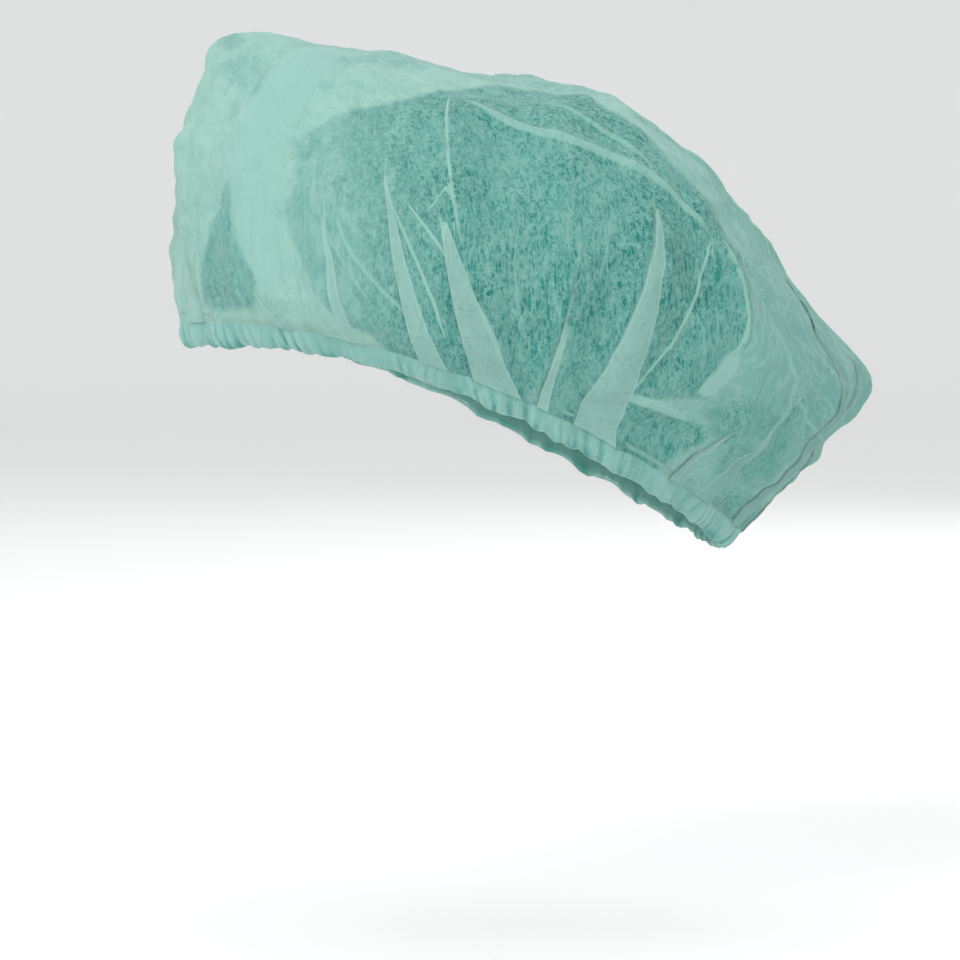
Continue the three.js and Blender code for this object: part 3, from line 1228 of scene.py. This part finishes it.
def fibre_group() -> bpy.types.NodeTree:
    """Nonwoven fibres as a node group: thin bright strands where two stretched noises cross their
    middle value, and a cloudy thickness, both fixed to the object.

    Returns:
        The group, with outputs Strands, Cloud, Wisps and Height.
    """
    group = bpy.data.node_groups.new("nonwoven_fibres", "ShaderNodeTree")
    for name in ("Strands", "Cloud", "Wisps", "Height"):
        group.interface.new_socket(name, in_out="OUTPUT", socket_type="NodeSocketFloat")
    sheet = NodeSheet(group)
    output = sheet.add("NodeGroupOutput")
    place = sheet.add("ShaderNodeTexCoord").outputs["Object"]
    strands = []
    for turn, stretch, seed in ((0.3, 0.24, 3.1), (-0.5, 0.3, 9.4), (0.9, 0.26, 17.7)):
        mapping = sheet.add("ShaderNodeMapping", vector_type="POINT", Vector=place)
        mapping.inputs["Location"].default_value = (seed, seed / 2, -seed)
        mapping.inputs["Rotation"].default_value = (turn, 0.6 * turn, 0.3 * turn)
        mapping.inputs["Scale"].default_value = (1.0, 1.0, stretch)
        noise = sheet.noise(mapping.outputs[0], 420.0, 1.5, 0.5, 0.6)
        away = sheet.math("ABSOLUTE", sheet.math("SUBTRACT", noise, 0.5))
        strands.append(sheet.math("SUBTRACT", 1.0, sheet.math("MULTIPLY", away, 16.0), clamp=True))
    thread = sheet.math("MAXIMUM", sheet.math("MAXIMUM", strands[0], strands[1]), strands[2])
    cloud = sheet.noise(place, 520.0, 4.0, 0.65, 0.6)
    upright = sheet.add("ShaderNodeMapping", vector_type="POINT", Vector=place)
    upright.inputs["Scale"].default_value = (1.0, 1.0, 0.36)
    wisps = sheet.noise(upright.outputs[0], 150.0, 6.0, 0.72, 1.1)
    sheet.feed(output, "Strands", thread)
    sheet.feed(output, "Cloud", cloud)
    sheet.feed(output, "Wisps", wisps)
    relief = sheet.math("ADD", sheet.math("MULTIPLY", thread, 0.5), sheet.math("MULTIPLY", wisps, 2.0))
    sheet.feed(output, "Height", sheet.math("ADD", relief, cloud))
    return group


@dataclass(frozen=True)
class Nonwoven:
    """The cap's cloth: single layers carry a painted shade where the dark head would show through them
    and a painted shade towards the back, and are light where they are loose; every further layer makes
    them paler, with a crisp edge."""

    fibres: bpy.types.NodeTree
    loose: tuple[float, float, float, float] = (0.36, 0.60, 0.53, 1)
    middle: tuple[float, float, float, float] = (0.20, 0.455, 0.405, 1)
    # painted shade colours where the dark head would show through the cloth
    head_shade: tuple[float, float, float, float] = (0.050, 0.295, 0.255, 1)
    deepest_head_shade: tuple[float, float, float, float] = (0.010, 0.205, 0.172, 1)
    layered: tuple[float, float, float, float] = (0.345, 0.60, 0.54, 1)
    middle_pale: tuple[float, float, float, float] = (0.23, 0.475, 0.425, 1)
    edge: tuple[float, float, float, float] = (0.46, 0.70, 0.64, 1)
    roughness: float = 0.8
    bump: float = 0.00025

    def material(self) -> bpy.types.Material:
        """Builds the material.

        Returns:
            The material.
        """
        material = bpy.data.materials.new("nonwoven_cloth")
        material.use_nodes = True
        sheet = NodeSheet(material.node_tree)
        shader = material.node_tree.nodes["Principled BSDF"]
        output = material.node_tree.nodes["Material Output"]
        names = ("plies", "head_shade", "line", "pale", "back")
        plies, head_shade, line, pale, back = (sheet.attribute(name) for name in names)
        fibres = sheet.tree.nodes.new("ShaderNodeGroup")
        fibres.node_tree = self.fibres
        strands, cloud, wisps, height = (
            fibres.outputs[name] for name in ("Strands", "Cloud", "Wisps", "Height")
        )
        place = sheet.add("ShaderNodeTexCoord").outputs["Object"]
        uneven = sheet.math("SUBTRACT", sheet.noise(place, 26.0, 3.0, 0.6, 0.6), 0.5)
        # painted shade: the loose cloth darkens towards the back
        loose = sheet.mix(back, self.loose, self.middle)
        loose = sheet.mix(sheet.math("MULTIPLY", uneven, 1.1, clamp=True), loose, self.middle)
        # painted shade where the dark head would show through, mottled by the fibres
        head_shade_colour = sheet.mix(sheet.ramp(wisps, 0.42, 0.68), self.head_shade, self.middle)
        head_shade_colour = sheet.mix(sheet.ramp(sheet.math("ADD", uneven, cloud), 0.52, 0.22), head_shade_colour, self.deepest_head_shade)
        head_shade_colour = sheet.mix(sheet.math("MULTIPLY", sheet.ramp(cloud, 0.5, 0.66), 0.6), head_shade_colour, self.middle)
        loose = sheet.mix(sheet.math("MULTIPLY", sheet.ramp(wisps, 0.56, 0.36), 0.45), loose, self.middle)
        base = sheet.mix(head_shade, loose, head_shade_colour)
        share = sheet.math("ADD", 0.16, sheet.math("MULTIPLY", head_shade, 0.28))
        base = sheet.mix(sheet.math("MULTIPLY", strands, share), base, self.layered)
        crushed = sheet.math("SUBTRACT", sheet.noise(place, 46.0, 5.0, 0.62, 1.4), 0.5)
        veins = sheet.ramp(sheet.math("ABSOLUTE", crushed), 0.042, 0.0)
        veins = sheet.math("MULTIPLY", veins, sheet.math("SUBTRACT", 1.0, head_shade, clamp=True))
        base = sheet.mix(sheet.math("MULTIPLY", veins, 0.3), base, self.edge)
        speck = sheet.math("SUBTRACT", 1.0, sheet.math("MULTIPLY", sheet.ramp(cloud, 0.5, 0.3), 0.25))
        several = sheet.math("MULTIPLY", sheet.ramp(plies, -0.15, 0.35), speck)
        # painted shade: doubled cloth also darkens towards the back
        doubled = sheet.mix(back, self.layered, self.middle_pale)
        colour = sheet.mix(sheet.math("MULTIPLY", several, 0.94), base, doubled)
        stripe = sheet.math("MULTIPLY", sheet.ramp(sheet.math("ABSOLUTE", line), 1.3, 0.7), pale)
        colour = sheet.mix(stripe, colour, self.layered)
        rim = sheet.math("SUBTRACT", 0.45, sheet.math("ABSOLUTE", sheet.math("SUBTRACT", plies, 0.35)))
        colour = sheet.mix(sheet.math("MULTIPLY", sheet.ramp(rim, 0.0, 0.45), 0.45), colour, self.edge)
        sheet.feed(shader, "Base Color", colour)
        shader.inputs["Roughness"].default_value = self.roughness
        shader.inputs["Sheen Weight"].default_value = 0.2
        shader.inputs["Specular IOR Level"].default_value = 0.2
        bump = sheet.add("ShaderNodeBump", Height=height)
        bump.inputs["Distance"].default_value = self.bump
        bump.inputs["Strength"].default_value = 0.7
        sheet.feed(shader, "Normal", bump.outputs[0])
        glow = sheet.add("ShaderNodeBsdfTranslucent", Color=colour, Normal=bump.outputs[0])
        both = sheet.add("ShaderNodeMixShader")
        both.inputs[0].default_value = 0.3
        sheet.tree.links.new(shader.outputs[0], both.inputs[1])
        sheet.tree.links.new(glow.outputs[0], both.inputs[2])
        sheet.tree.links.new(both.outputs[0], output.inputs["Surface"])
        return material


@dataclass(frozen=True)
class HemCloth:
    """The same cloth doubled over the elastic, pale on its crests, with a deep teal painted shade in its
    valleys and under its scalloped lower edge.
    """

    fibres: bpy.types.NodeTree
    crest: tuple[float, float, float, float] = (0.215, 0.44, 0.395, 1)
    valley_shade: tuple[float, float, float, float] = (0.025, 0.25, 0.215, 1)
    roughness: float = 0.8

    def material(self) -> bpy.types.Material:
        """Builds the material.

        Returns:
            The material.
        """
        material = bpy.data.materials.new("hem_nonwoven")
        material.use_nodes = True
        sheet = NodeSheet(material.node_tree)
        shader = material.node_tree.nodes["Principled BSDF"]
        low = sheet.attribute("valley_shade")
        fibres = sheet.tree.nodes.new("ShaderNodeGroup")
        fibres.node_tree = self.fibres
        fleck = sheet.math("MULTIPLY", fibres.outputs["Cloud"], 0.5)
        # painted shade: valleys and the scalloped lower edge take the deep teal colour
        factor = sheet.math("SUBTRACT", sheet.math("ADD", low, fleck), 0.35, clamp=True)
        sheet.feed(shader, "Base Color", sheet.mix(factor, self.crest, self.valley_shade))
        shader.inputs["Roughness"].default_value = self.roughness
        shader.inputs["Sheen Weight"].default_value = 0.25
        bump = sheet.add("ShaderNodeBump", Height=fibres.outputs["Height"])
        bump.inputs["Distance"].default_value = 0.0002
        bump.inputs["Strength"].default_value = 0.7
        sheet.feed(shader, "Normal", bump.outputs[0])
        return material


@dataclass(frozen=True)
class BraidedElastic:
    """A flat off-white elastic with fine cross weave."""

    colour: tuple[float, float, float, float] = (0.70, 0.80, 0.77, 1)
    shade: tuple[float, float, float, float] = (0.50, 0.64, 0.61, 1)

    def material(self) -> bpy.types.Material:
        """Builds the material.

        Returns:
            The material.
        """
        material = bpy.data.materials.new("braided_elastic")
        material.use_nodes = True
        sheet = NodeSheet(material.node_tree)
        shader = material.node_tree.nodes["Principled BSDF"]
        place = sheet.add("ShaderNodeTexCoord").outputs["Object"]
        weave = sheet.noise(place, 1400.0, 2.0, 0.6, 0.0)
        sheet.feed(shader, "Base Color", sheet.mix(weave, self.shade, self.colour))
        shader.inputs["Roughness"].default_value = 0.7
        bump = sheet.add("ShaderNodeBump", Height=weave)
        bump.inputs["Distance"].default_value = 0.0002
        sheet.feed(shader, "Normal", bump.outputs[0])
        return material


@dataclass(frozen=True)
class Studio:
    """A pale floor that curves up into a backdrop, soft lights and the camera."""

    distance: float = 1.8
    span: float = 0.3456
    aim_right: float = 0.0086
    aim_down: float = 0.0119
    floor_height: float = -0.168

    def build(self) -> None:
        """Adds the floor, the lights, the world and the camera."""
        self.backdrop()
        self.lights()
        self.camera()

    def backdrop(self) -> None:
        """The floor: a wide round dish, flat in its middle, whose edge curves up all round."""
        radius = np.concatenate([[0.05], np.linspace(0.6, 5.0, 24)])
        climb = np.where(radius > 3.2, (radius - 3.2) ** 2.2 * 1.4, 0.0)
        turn = np.arange(96) / 96 * TURN
        points = np.stack(
            [
                radius[:, None] * np.cos(turn),
                radius[:, None] * np.sin(turn),
                np.broadcast_to((self.floor_height + climb)[:, None], (len(radius), len(turn))),
            ],
            -1,
        ).reshape(-1, 3)
        points = np.vstack([points, [0, 0, self.floor_height]])
        inner = np.arange(len(turn))
        tip = np.full(len(turn), len(points) - 1)
        fan = np.stack([inner, np.roll(inner, -1), tip, tip], -1)
        faces = np.concatenate([grid_faces(len(radius), len(turn))[:, ::-1], fan])
        material = bpy.data.materials.new("pale_floor")
        material.use_nodes = True
        shader = material.node_tree.nodes["Principled BSDF"]
        shader.inputs["Base Color"].default_value = (0.92, 0.925, 0.925, 1)
        shader.inputs["Roughness"].default_value = 0.9
        floor = mesh_object("studio_floor", points, faces, material)

    def lights(self) -> None:
        """A broad key from the front left, a fill from behind the camera, a top and a rim light."""
        right, up, toward = view_axes(*MAIN_VIEW)
        plan = (
            ("key_light", toward * 1.3 - right * 0.9 + up * 1.1, 1.0, 17.0),
            ("fill_light", toward * 1.6 + right * 1.0 + up * 0.2, 1.6, 5.0),
            ("top_light", up * 1.7 - toward * 0.3, 1.6, 7.0),
            ("rim_light", -toward * 1.4 + right * 0.6 + up * 0.9, 1.2, 5.0),
        )
        for name, place, size, power in plan:
            data = bpy.data.lights.new(name, "AREA")
            data.size = size
            data.energy = power
            lamp = bpy.data.objects.new(name, data)
            lamp.location = place
            lamp.rotation_euler = look(-place)
            bpy.context.scene.collection.objects.link(lamp)
        world = bpy.data.worlds.new("studio")
        world.use_nodes = True
        world.node_tree.nodes["Background"].inputs[0].default_value = (1.0, 1.0, 1.0, 1)
        world.node_tree.nodes["Background"].inputs[1].default_value = 0.8
        bpy.context.scene.world = world

    def camera(self) -> None:
        """The camera at the photograph's angle, far enough for its flat perspective."""
        right, up, toward = view_axes(*MAIN_VIEW)
        aim = right * self.aim_right - up * self.aim_down
        data = bpy.data.cameras.new("camera")
        data.sensor_width = 36.0
        data.lens = data.sensor_width * self.distance / self.span
        camera = bpy.data.objects.new("camera", data)
        camera.location = aim + toward * self.distance
        camera.rotation_euler = look(-toward)
        bpy.context.scene.collection.objects.link(camera)
        bpy.context.scene.camera = camera


def look(way: np.ndarray) -> tuple[float, float, float]:
    """The Euler turn that points an object's -Z along a way with +Y up.

    Args:
        way: the viewing direction.

    Returns:
        XYZ angles.
    """
    return tuple(Vector(way.tolist()).to_track_quat("-Z", "Y").to_euler())


def main() -> None:
    """Builds the studio and the cap's pieces in order."""
    scene = bpy.context.scene
    scene.view_settings.view_transform = "Standard"
    Studio().build()
    log.info("studio: floor, lights and camera")
    bag, gathers = Bag(), Gathers()
    fibres = fibre_group()
    cloth = Crown(bag, gathers)
    crown = cloth.build(Nonwoven(fibres).material())
    log.info("crown: %d faces", len(crown.data.polygons))
    hem = Hem(bag, gathers)
    casing = hem.build(HemCloth(fibres).material())
    log.info("hem: %d faces", len(casing.data.polygons))
    band = Elastic(bag).build(hem, BraidedElastic().material())
    log.info("elastic: %d faces", len(band.data.polygons))


if __name__ == "__main__":
    main()
